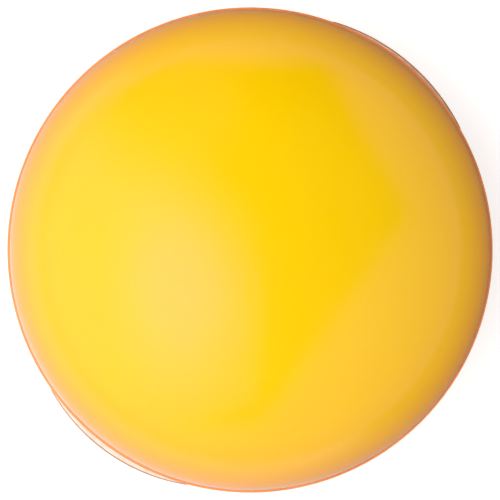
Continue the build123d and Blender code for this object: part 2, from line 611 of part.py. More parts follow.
for number, angle in enumerate(UNIT_ANGLES, start=1):
    unit_x, unit_y = on_circle(UNIT_CIRCLE, [angle])[0]

    with BuildPart() as main_ball:
        with Locations((unit_x, unit_y, BALL_RADIUS)):
            Sphere(BALL_RADIUS)
    write(main_ball, f"main_ball_{number}")

    with BuildPart() as support_balls:
        with Locations(*small_ball_centres(angle)):
            Sphere(SMALL_BALL_RADIUS)
    write(support_balls, f"support_balls_{number}")

    with BuildPart() as bearing_cup:
        with BuildSketch(unit_section(angle)):
            with BuildLine():
                outside = CenterArc((0, BALL_RADIUS), CUP_OUTER, 0, 90)
                inside = CenterArc((0, BALL_RADIUS), CUP_INNER, 0, 90)
                Polyline(outside @ 0, (CUP_OUTER, CUP_LOW), (CUP_INNER, CUP_LOW), inside @ 0)
                Line(inside @ 1, outside @ 1)
            make_face()
        revolve(axis=unit_axis(angle))
    write(bearing_cup, f"bearing_cup_{number}")

    with BuildPart() as unit_housing:
        with BuildSketch(unit_level(angle, BASE_HEIGHT)):
            add(flange_outline(0))
        extrude(amount=FLANGE_HEIGHT)
        with BuildSketch(unit_level(angle, FLANGE_TOP)):
            Circle(HOUSING_RADIUS)
        extrude(amount=HOUSING_TOP - FLANGE_TOP)
        fillet(unit_housing.faces().sort_by(Axis.Z)[-1].edges(), HOUSING_ROUND)
        with BuildSketch(unit_section(angle)):
            with BuildLine():
                shoulder = CAP_TOP + HOUSING_GAP
                seat_radius = CUP_OUTER + HOUSING_GAP
                seat_start = degrees(asin((shoulder - BALL_RADIUS) / seat_radius))
                seat = CenterArc((0, BALL_RADIUS), seat_radius, seat_start, 90 - seat_start)
                Polyline(
                    seat @ 0,
                    (CAP_OUTER + HOUSING_GAP, shoulder),
                    (CAP_OUTER + HOUSING_GAP, BASE_HEIGHT),
                    (0, BASE_HEIGHT),
                    seat @ 1,
                )
            make_face()
        revolve(axis=unit_axis(angle), mode=Mode.SUBTRACT)
        with Locations(
            unit_level(angle, BASE_HEIGHT) * Location((0, EAR_OFFSET, 0), (180, 0, 0)),
            unit_level(angle, BASE_HEIGHT) * Location((0, -EAR_OFFSET, 0), (180, 0, 0)),
        ):
            CounterSinkHole(
                UNIT_SCREW_RADIUS + UNIT_SCREW_CLEARANCE,
                UNIT_SCREW_HEAD_RADIUS + UNIT_SCREW_CLEARANCE,
                FLANGE_HEIGHT,
                UNIT_SCREW_HEAD_ANGLE,
            )
    write(unit_housing, f"unit_housing_{number}")

    with BuildPart() as retainer_cap:
        with BuildSketch(unit_section(angle)):
            with BuildLine():
                Polyline(
                    (CAP_OPENING - CAP_LIP, CAP_LOW),
                    (CAP_OUTER - CAP_CHAMFER, CAP_LOW),
                    (CAP_OUTER, CAP_LOW + CAP_CHAMFER),
                    (CAP_OUTER, CAP_TOP),
                    (CAP_SKIRT_INNER, CAP_TOP),
                    (CAP_SKIRT_INNER, CAP_LOW + CAP_PLATE),
                    (CAP_OPENING, CAP_LOW + CAP_PLATE),
                    close=True,
                )
            make_face()
        revolve(axis=unit_axis(angle))
    write(retainer_cap, f"retainer_cap_{number}")

    with BuildPart() as felt_seal:
        with BuildSketch(unit_level(angle, CAP_LOW + CAP_PLATE)):
            Circle(FELT_OUTER)
            Circle(FELT_INNER, mode=Mode.SUBTRACT)
        extrude(amount=FELT_HEIGHT)
    write(felt_seal, f"felt_seal_{number}")

# --- Screws that hold the ball units: flat heads, flush with the flanges ------------------------
with BuildPart() as unit_screws:
    for angle in UNIT_ANGLES:
        for side in (-1, 1):
            screw = unit_level(angle, 0) * Location((0, side * EAR_OFFSET, 0))
            screw_x, screw_y, _ = screw.position
            head_depth = UNIT_SCREW_HEAD_RADIUS - UNIT_SCREW_RADIUS
            with BuildSketch(Plane(origin=(screw_x, screw_y, 0), x_dir=(1, 0, 0), z_dir=(0, -1, 0))):
                with BuildLine():
                    Polyline(
                        (0, BASE_HEIGHT),
                        (UNIT_SCREW_HEAD_RADIUS, BASE_HEIGHT),
                        (UNIT_SCREW_RADIUS, BASE_HEIGHT + head_depth),
                        (UNIT_SCREW_RADIUS, BASE_HEIGHT + UNIT_SCREW_LENGTH - UNIT_SCREW_POINT),
                        (0, BASE_HEIGHT + UNIT_SCREW_LENGTH),
                        close=True,
                    )
                make_face()
            revolve(axis=Axis((screw_x, screw_y, 0), (0, 0, 1)))
            with BuildSketch(Plane(origin=(screw_x, screw_y, BASE_HEIGHT))):
                Rectangle(CROSS_LENGTH, CROSS_WIDTH)
                Rectangle(CROSS_WIDTH, CROSS_LENGTH)
            extrude(amount=CROSS_DEPTH, mode=Mode.SUBTRACT)
write(unit_screws, "unit_screws")
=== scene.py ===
from math import asin, atan2, cos, pi, radians, sin

import bmesh
import bpy
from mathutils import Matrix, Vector, noise as solid_noise


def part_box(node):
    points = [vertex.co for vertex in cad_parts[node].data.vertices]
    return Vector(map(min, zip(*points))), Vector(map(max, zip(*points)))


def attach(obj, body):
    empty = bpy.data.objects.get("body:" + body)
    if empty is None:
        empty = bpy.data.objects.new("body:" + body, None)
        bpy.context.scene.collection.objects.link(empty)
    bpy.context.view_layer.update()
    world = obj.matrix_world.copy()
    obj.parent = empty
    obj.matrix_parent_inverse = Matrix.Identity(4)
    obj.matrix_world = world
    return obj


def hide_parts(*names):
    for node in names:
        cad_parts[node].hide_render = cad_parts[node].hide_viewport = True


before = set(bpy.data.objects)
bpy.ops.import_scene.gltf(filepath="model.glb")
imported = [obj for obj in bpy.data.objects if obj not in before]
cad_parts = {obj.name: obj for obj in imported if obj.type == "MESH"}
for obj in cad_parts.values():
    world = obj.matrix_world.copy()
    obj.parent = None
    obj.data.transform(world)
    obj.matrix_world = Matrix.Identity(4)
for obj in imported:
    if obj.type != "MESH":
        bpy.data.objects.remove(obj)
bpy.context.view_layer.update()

# --- Places and sizes, read from model.glb (metres) -----------------------------------------------
MM = 0.001
BAND_LOW, BAND_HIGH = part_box("striking_band")
SHELL_LOW, SHELL_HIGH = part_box("top_shell")
STONE_RADIUS = (BAND_HIGH.x - BAND_LOW.x) / 2
SHELL_RADIUS = (SHELL_HIGH.x - SHELL_LOW.x) / 2
CROWN_HEIGHT = SHELL_HIGH.z
RIM_HEIGHT = (BAND_LOW.z + BAND_HIGH.z) / 2
ORIGIN = Vector((0.0, 0.0, 0.0))
UPWARD = Vector((0.0, 0.0, 1.0))
UNITS = (1, 2, 3)


def unit_centre(number):
    """The upright axis of one ball unit, as a point on the floor."""
    low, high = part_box(f"main_ball_{number}")
    return Vector(((low.x + high.x) / 2, (low.y + high.y) / 2, 0.0))


# --- Node helpers ---------------------------------------------------------------------------------


def add(tree, kind, inputs, **settings):
    """Adds a shader node. Each input is a value, or another node's output to link."""
    made = tree.nodes.new("ShaderNode" + kind)
    for name, value in settings.items():
        setattr(made, name, value)
    for name, value in inputs.items():
        if isinstance(value, bpy.types.NodeSocket):
            tree.links.new(value, made.inputs[name])
        else:
            made.inputs[name].default_value = value
    return made


def new_material(name, color, roughness, metallic=0.0):
    """A material with one Principled shader. Returns the material, its node tree and the shader."""
    material = bpy.data.materials.new(name)
    material.use_nodes = True
    tree = material.node_tree
    shader = tree.nodes["Principled BSDF"]
    shader.inputs["Base Color"].default_value = (*color, 1.0)
    shader.inputs["Roughness"].default_value = roughness
    shader.inputs["Metallic"].default_value = metallic
    return material, tree, shader


def place(tree, scale=(1.0, 1.0, 1.0)):
    """Where a point of the object is, in metres, stretched by scale."""
    where = add(tree, "TexCoord", {}).outputs["Object"]
    return add(tree, "Mapping", {"Vector": where, "Scale": scale}).outputs["Vector"]


def noise(tree, vector, scale, detail=4.0, roughness=0.5):
    """A noise field, 0 to 1, with features about 1 / scale metres wide."""
    inputs = {"Vector": vector, "Scale": scale, "Detail": detail, "Roughness": roughness}
    return add(tree, "TexNoise", inputs).outputs["Fac"]


def cells(tree, vector, scale, feature="F1"):
    """The distance to the nearest of many scattered points, or to the nearest edge between them."""
    inputs = {"Vector": vector, "Scale": scale}
    return add(tree, "TexVoronoi", inputs, feature=feature).outputs["Distance"]


def compute(tree, operation, first, second=0.0):
    """One arithmetic step on one value or two."""
    return add(tree, "Math", {0: first, 1: second}, operation=operation).outputs["Value"]


def dot(tree, vector, along):
    """How far a vector reaches along a direction."""
    return add(tree, "VectorMath", {0: vector, 1: along}, operation="DOT_PRODUCT").outputs["Value"]


def ramp(tree, value, stops):
    """Turns a value into a colour by its stops, each a place and a colour."""
    node = add(tree, "ValToRGB", {"Fac": value})
    elements = node.color_ramp.elements
    while len(elements) < len(stops):
        elements.new(0.5)
    for element, (position, color) in zip(elements, stops):
        element.position = position
        element.color = (*color, 1.0)
    return node.outputs["Color"]


def spread(tree, value, low, high, start=0.0, stop=1.0, kind="LINEAR"):
    """Maps a value from start..stop to low..high."""
    inputs = {"Value": value, "From Min": start, "From Max": stop, "To Min": low, "To Max": high}
    return add(tree, "MapRange", inputs, interpolation_type=kind).outputs["Result"]


def blend_colors(tree, factor, first, second):
    """Goes from one colour to another as the factor goes from 0 to 1."""
    node = add(tree, "Mix", {}, data_type="RGBA")
    colors = [socket for socket in node.inputs if socket.type == "RGBA"]
    tree.links.new(factor, node.inputs[0])
    for socket, color in zip(colors, (first, second)):
        if isinstance(color, bpy.types.NodeSocket):
            tree.links.new(color, socket)
        else:
            socket.default_value = (*color, 1.0)
    return next(socket for socket in node.outputs if socket.type == "RGBA")


def bump(tree, shader, height, strength, distance):
    """Adds a bump to the shader. Bumps added later lie on top of the earlier ones."""
    inputs = {"Height": height, "Strength": strength, "Distance": distance}
    normal = shader.inputs["Normal"]
    if normal.is_linked:
        inputs["Normal"] = normal.links[0].from_socket
    tree.links.new(add(tree, "Bump", inputs).outputs["Normal"], normal)


def cylinder_place(tree, centre):
    """Distance from an upright axis, turn about it and height, as three values."""
    where = add(tree, "TexCoord", {}).outputs["Object"]
    offset = (-centre.x, -centre.y, 0.0)
    shifted = add(tree, "VectorMath", {0: where, 1: offset}, operation="ADD").outputs["Vector"]
    split = add(tree, "SeparateXYZ", {"Vector": shifted})
    x, y = split.outputs["X"], split.outputs["Y"]
    squares = [compute(tree, "MULTIPLY", side, side) for side in (x, y)]
    radius = compute(tree, "SQRT", compute(tree, "ADD", *squares))
    return radius, compute(tree, "ARCTAN2", y, x), split.outputs["Z"]


def ring_marks(tree, centre, scale, length=0.004):
    """Noise drawn out round an upright axis, as turning or polishing leaves it."""
    radius, turn, height = cylinder_place(tree, centre)
    drawn = compute(tree, "MULTIPLY", turn, length)
    vector = add(tree, "CombineXYZ", {"X": radius, "Y": drawn, "Z": height}).outputs["Vector"]
    return noise(tree, vector, scale, detail=3.0, roughness=0.6)


# --- Materials ------------------------------------------------------------------------------------
CASING_YELLOW = (1.0, 0.58, 0.0)
# The casing's colour by its share of the shell's radius. The darker, more orange rim is painted shade,
# where the dome turns away from the light.
CASING_RAMP_WITH_RIM_SHADE = [
    (0.0, (1.0, 0.625, 0.0)),
    (0.5, (1.0, 0.62, 0.0)),
    (0.75, (1.0, 0.585, 0.0)),
    (0.88, (0.97, 0.53, 0.01)),
    (0.965, (0.9, 0.39, 0.015)),
    (1.0, (0.86, 0.31, 0.02)),
]
CASING_CLOUD = (0.9, 0.42, 0.01)
CASING_SCUFF = (0.6, 0.4, 0.1)
# The casing's tint for reflections seen head-on. Without green they stay warm over the yellow.
CASING_REFLECTION = (1.0, 0.0, 1.0, 1.0)
# The scuffs are full below the first height and gone above the second.
SCUFF_HEIGHTS = (6 * MM, 16 * MM)
BAND_AMBER = (0.93, 0.31, 0.07)
BAND_PALE, BAND_DEEP = (0.97, 0.34, 0.085), (0.88, 0.28, 0.06)
BAND_KNOCK = (0.72, 0.34, 0.15)
# The knocks are full this near to the band's middle height, and gone this far from it.
KNOCK_REACH = (1.5 * MM, 4.5 * MM)
RIDGE_ATTRIBUTE = "ridge"
PLUG_BLACK = (0.03, 0.03, 0.032)
SEAL_BLACK = (0.02, 0.02, 0.02)
IRON_GREY = (0.07, 0.08, 0.09)
IRON_ENAMEL, IRON_BARE = (0.055, 0.065, 0.075), (0.32, 0.3, 0.28)
FOAM_GREY = (0.05, 0.05, 0.055)
FOAM_PORE, FOAM_WALL = (0.03, 0.03, 0.033), (0.09, 0.09, 0.095)
SCREW_STEEL = (0.62, 0.63, 0.64)
BALL_STEEL = (0.75, 0.75, 0.76)
CAP_STEEL = (0.7, 0.7, 0.69)
CUP_STEEL = (0.56, 0.56, 0.57)
BRASS = (0.78, 0.53, 0.2)
BRASS_CLEAN, BRASS_BROWN = (0.8, 0.55, 0.22), (0.5, 0.3, 0.11)
GLIDE_WHITE = (0.82, 0.81, 0.76)
GLIDE_CLEAN, GLIDE_WORN = (0.83, 0.82, 0.77), (0.6, 0.58, 0.53)
# The glide ring is worn below the first height and clean above the second.
GLIDE_WEAR_HEIGHTS = (3.2 * MM, 4.2 * MM)
HOUSING_BLACK = (0.022, 0.023, 0.026)
HOUSING_DEEP, HOUSING_PALE = (0.02, 0.021, 0.024), (0.034, 0.035, 0.038)
FELT_GREY = (0.35, 0.34, 0.32)
FELT_SHADE, FELT_FIBRE = (0.2, 0.195, 0.185), (0.5, 0.48, 0.45)


def casing_material():
    """Satin yellow moulded plastic with painted shade that darkens it to orange at its rim, and scuffs
    near the floor.
    """
    material, tree, shader = new_material("casing_yellow", CASING_YELLOW, roughness=0.22)
    shader.inputs["Specular Tint"].default_value = CASING_REFLECTION
    radius, _, height = cylinder_place(tree, ORIGIN)
    # Painted shade: the colour grows darker and more orange towards the rim, by radius alone.
    body = ramp(tree, spread(tree, radius, low=0.0, high=1.0, stop=SHELL_RADIUS), CASING_RAMP_WITH_RIM_SHADE)
    clouds = noise(tree, place(tree), scale=25.0, detail=3.0)
    clouds = spread(tree, clouds, low=0.0, high=0.06, start=0.35, stop=0.75)
    body = blend_colors(tree, clouds, body, CASING_CLOUD)
    scuffed, clean = SCUFF_HEIGHTS
    low_down = spread(tree, height, low=1.0, high=0.0, start=scuffed, stop=clean, kind="SMOOTHSTEP")
    rubbed = noise(tree, place(tree), scale=500.0, detail=6.0, roughness=0.6)
    rubbed = spread(tree, rubbed, low=0.0, high=0.4, start=0.45, stop=0.65)
    scuffs = compute(tree, "MULTIPLY", low_down, rubbed)
    tree.links.new(blend_colors(tree, scuffs, body, CASING_SCUFF), shader.inputs["Base Color"])
    smears = noise(tree, place(tree), scale=60.0, detail=5.0, roughness=0.6)
    polish = spread(tree, smears, low=0.13, high=0.19, start=0.3, stop=0.7)
    dulled = compute(tree, "MULTIPLY", scuffs, 0.3)
    tree.links.new(compute(tree, "ADD", polish, dulled), shader.inputs["Roughness"])
    ripple = noise(tree, place(tree), scale=450.0, detail=2.0)
    bump(tree, shader, ripple, strength=0.03, distance=0.1 * MM)
    scratches = cells(tree, place(tree, (900.0, 70.0, 200.0)), scale=1.0, feature="DISTANCE_TO_EDGE")
    scratches = spread(tree, scratches, low=0.0, high=1.0, stop=0.02)
    bump(tree, shader, scratches, strength=0.02, distance=0.02 * MM)
    return material


def band_material():
    """Amber elastomer with a fine spark grain and pale knocks where stones have met."""
    material, tree, shader = new_material("band_amber", BAND_AMBER, roughness=0.4)
    clouds = noise(tree, place(tree), scale=60.0)
    clouds = spread(tree, clouds, low=0.0, high=1.0, start=0.35, stop=0.7)
    body = blend_colors(tree, clouds, BAND_PALE, BAND_DEEP)
    _, _, height = cylinder_place(tree, ORIGIN)
    crown = compute(tree, "ABSOLUTE", compute(tree, "SUBTRACT", height, RIM_HEIGHT))
    near, far = KNOCK_REACH
    struck = spread(tree, crown, low=1.0, high=0.0, start=near, stop=far, kind="SMOOTHSTEP")
    knocks = noise(tree, place(tree), scale=420.0, detail=6.0, roughness=0.7)
    knocks = spread(tree, knocks, low=0.0, high=1.0, start=0.56, stop=0.7)
    marks = compute(tree, "MULTIPLY", struck, knocks)
    body = blend_colors(tree, compute(tree, "MULTIPLY", marks, 0.4), body, BAND_KNOCK)
    tree.links.new(body, shader.inputs["Base Color"])
    tree.links.new(spread(tree, marks, low=0.36, high=0.55), shader.inputs["Roughness"])
    grain = noise(tree, place(tree), scale=1500.0, detail=3.0)
    bump(tree, shader, grain, strength=0.2, distance=0.2 * MM)
    return material


def grip_material(name, land, ridge):
    """Soft matt elastomer in two shots: one colour in the grooves, another on the ridges. The pale grooves
    and edges also serve as painted highlight, the dark ridges as painted shade.
    """
    material, tree, shader = new_material(name, ridge, roughness=0.6)
    shader.inputs["Specular IOR Level"].default_value = 0.25
    proud = add(tree, "Attribute", {}, attribute_name=RIDGE_ATTRIBUTE).outputs["Fac"]
    proud = spread(tree, proud, low=0.0, high=1.0, start=0.15, stop=0.35)
    # Painted highlight and shade: pale in the grooves and on the rounded edges, dark on the proud ridges.
    body = blend_colors(tree, proud, land, ridge)
    clouds = noise(tree, place(tree), scale=220.0)
    clouds = spread(tree, clouds, low=0.0, high=0.35, start=0.35, stop=0.7)
    body = blend_colors(tree, clouds, body, tuple(0.75 * channel for channel in ridge))
    tree.links.new(body, shader.inputs["Base Color"])
    tree.links.new(spread(tree, clouds, low=0.52, high=0.68, stop=0.35), shader.inputs["Roughness"])
    grain = noise(tree, place(tree), scale=2500.0, detail=3.0)
    bump(tree, shader, grain, strength=0.25, distance=0.2 * MM)
    return material


def rubber_material(name, color):
    """Black moulded rubber with a faint bloom and fine grain."""
    material, tree, shader = new_material(name, color, roughness=0.6)
    bloom = noise(tree, place(tree), scale=140.0, detail=5.0, roughness=0.65)
    pale = tuple(channel * 2.2 + 0.01 for channel in color)
    faint = spread(tree, bloom, low=0.0, high=1.0, start=0.45, stop=0.75)
    tree.links.new(blend_colors(tree, faint, color, pale), shader.inputs["Base Color"])
    tree.links.new(spread(tree, bloom, low=0.5, high=0.72), shader.inputs["Roughness"])
    grain = noise(tree, place(tree), scale=2200.0, detail=3.0)
    bump(tree, shader, grain, strength=0.15, distance=0.1 * MM)
    return material


def iron_material():
    """Sand-cast iron under a thin coat of dark enamel, worn to metal on its proud spots."""
    material, tree, shader = new_material("ballast_iron", IRON_GREY, roughness=0.5)
    sand = noise(tree, place(tree), scale=700.0, detail=6.0, roughness=0.7)
    worn = spread(tree, sand, low=0.0, high=1.0, start=0.58, stop=0.66)
    tree.links.new(blend_colors(tree, worn, IRON_ENAMEL, IRON_BARE), shader.inputs["Base Color"])
    tree.links.new(compute(tree, "MULTIPLY", worn, 0.9), shader.inputs["Metallic"])
    tree.links.new(spread(tree, sand, low=0.38, high=0.7), shader.inputs["Roughness"])
    bump(tree, shader, sand, strength=0.5, distance=0.4 * MM)
    pits = spread(tree, cells(tree, place(tree), scale=260.0), low=0.0, high=1.0, stop=0.12)
    bump(tree, shader, pits, strength=0.3, distance=0.3 * MM)
    return material


def foam_material():
    """Closed-cell foam: a skin of small round cells."""
    material, tree, shader = new_material("pad_foam", FOAM_GREY, roughness=0.9)
    pores = cells(tree, place(tree), scale=1400.0)
    walls = spread(tree, pores, low=0.0, high=1.0, start=0.1, stop=0.7)
    tree.links.new(blend_colors(tree, walls, FOAM_PORE, FOAM_WALL), shader.inputs["Base Color"])
    bump(tree, shader, pores, strength=0.7, distance=0.3 * MM)
    return material


def steel_material(name, color, roughness, centre=None):
    """Steel with faint handling marks, and with turning marks where it has an axis."""
    material, tree, shader = new_material(name, color, roughness, metallic=1.0)
    if centre is None:
        marks = noise(tree, place(tree), scale=900.0, detail=5.0, roughness=0.6)
    else:
        marks = ring_marks(tree, centre, scale=6000.0)
    clouds = noise(tree, place(tree), scale=350.0)
    clouds = spread(tree, clouds, low=0.0, high=1.0, start=0.35, stop=0.7)
    darker = tuple(channel * 0.82 for channel in color)
    tree.links.new(blend_colors(tree, clouds, color, darker), shader.inputs["Base Color"])
    polish = spread(tree, marks, low=roughness * 0.8, high=roughness * 1.3, start=0.3, stop=0.7)
    tree.links.new(polish, shader.inputs["Roughness"])
    bump(tree, shader, marks, strength=0.05, distance=0.03 * MM)
    return material


def brass_material():
    """Turned brass, slightly browned."""
    material, tree, shader = new_material("insert_brass", BRASS, roughness=0.3, metallic=1.0)
    tarnish = noise(tree, place(tree), scale=420.0, detail=5.0, roughness=0.6)
    browned = spread(tree, tarnish, low=0.0, high=1.0, start=0.4, stop=0.75)
    tree.links.new(blend_colors(tree, browned, BRASS_CLEAN, BRASS_BROWN), shader.inputs["Base Color"])
    tree.links.new(spread(tree, tarnish, low=0.22, high=0.45), shader.inputs["Roughness"])
    turning = noise(tree, place(tree, (1.0, 1.0, 6.0)), scale=1500.0, detail=3.0)
    bump(tree, shader, turning, strength=0.08, distance=0.05 * MM)
    return material


def glide_material():
    """Waxy white polyethylene with the fine arcs that a floor wears into it."""
    material, tree, shader = new_material("glide_white", GLIDE_WHITE, roughness=0.42)
    shader.inputs["Subsurface Weight"].default_value = 0.15
    shader.inputs["Subsurface Radius"].default_value = (1.0, 0.9, 0.7)
    shader.inputs["Subsurface Scale"].default_value = 0.8 * MM
    rubs = ring_marks(tree, ORIGIN, scale=1800.0, length=0.008)
    _, _, height = cylinder_place(tree, ORIGIN)
    worn_height, clean_height = GLIDE_WEAR_HEIGHTS
    face = spread(tree, height, low=1.0, high=0.0, start=worn_height, stop=clean_height)
    arcs = spread(tree, rubs, low=0.0, high=1.0, start=0.45, stop=0.65)
    worn = compute(tree, "MULTIPLY", face, arcs)
    tree.links.new(blend_colors(tree, worn, GLIDE_CLEAN, GLIDE_WORN), shader.inputs["Base Color"])
    tree.links.new(spread(tree, rubs, low=0.35, high=0.55), shader.inputs["Roughness"])
    bump(tree, shader, rubs, strength=0.15, distance=0.1 * MM)
    return material


def housing_material():
    """Black moulded acetal with a fine texture."""
    material, tree, shader = new_material("housing_black", HOUSING_BLACK, roughness=0.42)
    grain = noise(tree, place(tree), scale=1300.0, roughness=0.6)
    proud = spread(tree, grain, low=0.0, high=1.0, start=0.4, stop=0.7)
    tree.links.new(blend_colors(tree, proud, HOUSING_DEEP, HOUSING_PALE), shader.inputs["Base Color"])
    tree.links.new(spread(tree, grain, low=0.36, high=0.52), shader.inputs["Roughness"])
    bump(tree, shader, grain, strength=0.2, distance=0.15 * MM)
    return material


def felt_material():
    """Pressed grey wool felt: matted fibres in every direction."""
    material, tree, shader = new_material("felt_grey", FELT_GREY, roughness=0.95)
    shader.inputs["Sheen Weight"].default_value = 0.5
    shader.inputs["Sheen Roughness"].default_value = 0.6
    fibres = noise(tree, place(tree, (1.0, 4.0, 2.0)), scale=1600.0, detail=6.0, roughness=0.75)
    crossing = noise(tree, place(tree, (4.0, 1.0, 2.0)), scale=1500.0, detail=6.0, roughness=0.75)
    mat = compute(tree, "MAXIMUM", fibres, crossing)
    lit = spread(tree, mat, low=0.0, high=1.0, start=0.4, stop=0.75)
    tree.links.new(blend_colors(tree, lit, FELT_SHADE, FELT_FIBRE), shader.inputs["Base Color"])
    bump(tree, shader, mat, strength=0.6, distance=0.3 * MM)
    return material


def give(nodes, material):
    """Puts one material on every slot of these CAD nodes."""
    for name in nodes:
        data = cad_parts[name].data
        data.materials.clear()
        data.materials.append(material)


def finish_stone(screw_steel):
    """A finish for each CAD node that is shown as it is."""
    give(["top_shell", "bottom_shell"], casing_material())
    give(["striking_band"], band_material())
    give(["screw_plugs"], rubber_material("plug_black", PLUG_BLACK))
    give(["ballast_weight"], iron_material())
    give(["ballast_washers"], screw_steel)
    give(["glide_ring"], glide_material())
    give([f"unit_housing_{number}" for number in UNITS], housing_material())
    polished = steel_material("ball_steel", BALL_STEEL, roughness=0.08)
    for number in UNITS:
        give([f"main_ball_{number}", f"support_balls_{number}"], polished)
        centre = unit_centre(number)
        plated = steel_material(f"cap_steel_{number}", CAP_STEEL, roughness=0.2, centre=centre)
        give([f"retainer_cap_{number}"], plated)
        ground = steel_material(f"cup_steel_{number}", CUP_STEEL, roughness=0.25, centre=centre)
        give([f"bearing_cup_{number}"], ground)


# --- Meshes ---------------------------------------------------------------------------------------
# Edges that turn more than this are shaded sharp.
SHARP_TURN = radians(35)


def skin(rings, closed=False):
    """Points and faces that join each ring to the next. The ends are capped, or joined if closed."""
    count = len(rings[0])
    points = [point for ring in rings for point in ring]
    faces = []
    for first in range(len(rings) if closed else len(rings) - 1):
        second = (first + 1) % len(rings)
        for step in range(count):
            ahead = (step + 1) % count
            here = (first * count + step, first * count + ahead)
            there = (second * count + ahead, second * count + step)
            faces.append(here + there)
    if not closed:
        faces.append(tuple(reversed(range(count))))
        faces.append(tuple(range(len(points) - count, len(points))))
    return points, faces


def lathe(centre, profile, sides, closed=False):
    """A turned shape. The profile is heights with radii; a radius may depend on turn and height."""
    rings = []
    for height, radius in profile:
        ring = []
        for side in range(sides):
            turn = 2 * pi * side / sides
            reach = radius(turn, height) if callable(radius) else radius
            ring.append((centre.x + reach * cos(turn), centre.y + reach * sin(turn), height))
        rings.append(ring)
    return skin(rings, closed)


def make_piece(name, shapes, material, body, nodes):
    """One piece from several skins, which stands for CAD nodes and moves with their body."""
    points, faces = [], []
    for shape_points, shape_faces in shapes:
        faces += [tuple(index + len(points) for index in face) for face in shape_faces]
        points += shape_points
    data = bpy.data.meshes.new(name)
    data.from_pydata(points, [], faces)
    mesh = bmesh.new()
    mesh.from_mesh(data)
    bmesh.ops.recalc_face_normals(mesh, faces=mesh.faces)
    mesh.to_mesh(data)
    mesh.free()
    data.shade_smooth()
    data.set_sharp_from_angle(angle=SHARP_TURN)
    data.materials.append(material)
    piece = bpy.data.objects.new(name, data)
    bpy.context.scene.collection.objects.link(piece)
    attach(piece, body)
    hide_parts(*nodes)
    return piece


def solids_of(node, reach):
    """The upright axes of a group node's separate solids, each narrower than reach."""
    groups = []
    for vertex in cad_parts[node].data.vertices:
        flat = Vector((vertex.co.x, vertex.co.y, 0.0))
        near = next((group for group in groups if (group[0] - flat).length < reach), None)
        if near is None:
            groups.append([flat])
        else:
            near.append(flat)
    centres = []
    for group in groups:
        xs, ys = [point.x for point in group], [point.y for point in group]
        centres.append(Vector(((min(xs) + max(xs)) / 2, (min(ys) + max(ys)) / 2, 0.0)))
    return centres


# --- Finger grips ---------------------------------------------------------------------------------
GRIP_DEPTH = 1.9 * MM
GRIP_RIDGES = 5
GRIP_GROOVE = 0.5 * MM
# How far the ridges' tops are flattened, as a stretch of the wave that is cut off at 1.
GRIP_FLATTENING = 1.6
# How squarely the front turns into the grip's long edges: the powers of its rounding.
GRIP_EDGE_POWERS = (12, 1 / 6)
GRIP_STATIONS = 60
GRIP_LEVELS = 80
GRIP_BACK_LEVELS = 12
PEG_RADIUS = 1.5 * MM
PEG_OFFSET = radians(9.0)
PEG_SIDES = 24
# The length of the peg's tapered tip, and of its root inside the grip.
PEG_END = 0.3 * MM
PEG_TIP_SHARE = 0.8
# Each grip's colour in its grooves and on its ridges. Partly a two-shot moulding and partly painted light:
# the pale grooves and top edges are painted highlight, the dark proud ridges painted shade, and the finger
# grip is a paler, lit copy of the thumb grip's elastomer.
GRIP_COLORS_WITH_PAINTED_LIGHT = {
    "thumb_grip": ((1.0, 0.58, 0.38), (0.4, 0.15, 0.08)),
    "finger_grip": ((0.97, 0.82, 0.73), (0.5, 0.25, 0.14)),
}


def grip_section(proud, half_height):
    """Depths over the back, heights and ridge shares, up the ridged front and down the back."""
    edge_power, edge_root = GRIP_EDGE_POWERS
    section = []
    for level in range(GRIP_LEVELS + 1):
        share = -1 + 2 * level / GRIP_LEVELS
        wave = 0.5 - 0.5 * cos(pi * (share + 1) * GRIP_RIDGES)
        ridge = min(1.0, GRIP_FLATTENING * wave)
        rounded = (1 - abs(share) ** edge_power) ** edge_root
        depth = (proud - GRIP_GROOVE * (1 - ridge)) * rounded
        section.append((depth, share * half_height, ridge * rounded))
    for level in range(1, GRIP_BACK_LEVELS):
        section.append((0.0, (1 - 2 * level / GRIP_BACK_LEVELS) * half_height, 0.0))
    return section


def peg_rings(outward, level, tip, root):
    """The rings of one peg, which runs outward from its tapered tip to its root in the grip."""
    across = Vector((-outward.y, outward.x, 0.0))
    turns = [2 * pi * side / PEG_SIDES for side in range(PEG_SIDES)]
    rings = []
    for radius, thickness in ((tip, PEG_TIP_SHARE), (tip + PEG_END, 1.0), (root + PEG_END, 1.0)):
        centre = outward * radius + UPWARD * level
        reach = PEG_RADIUS * thickness
        rings.append([centre + reach * (across * cos(turn) + UPWARD * sin(turn)) for turn in turns])
    return rings


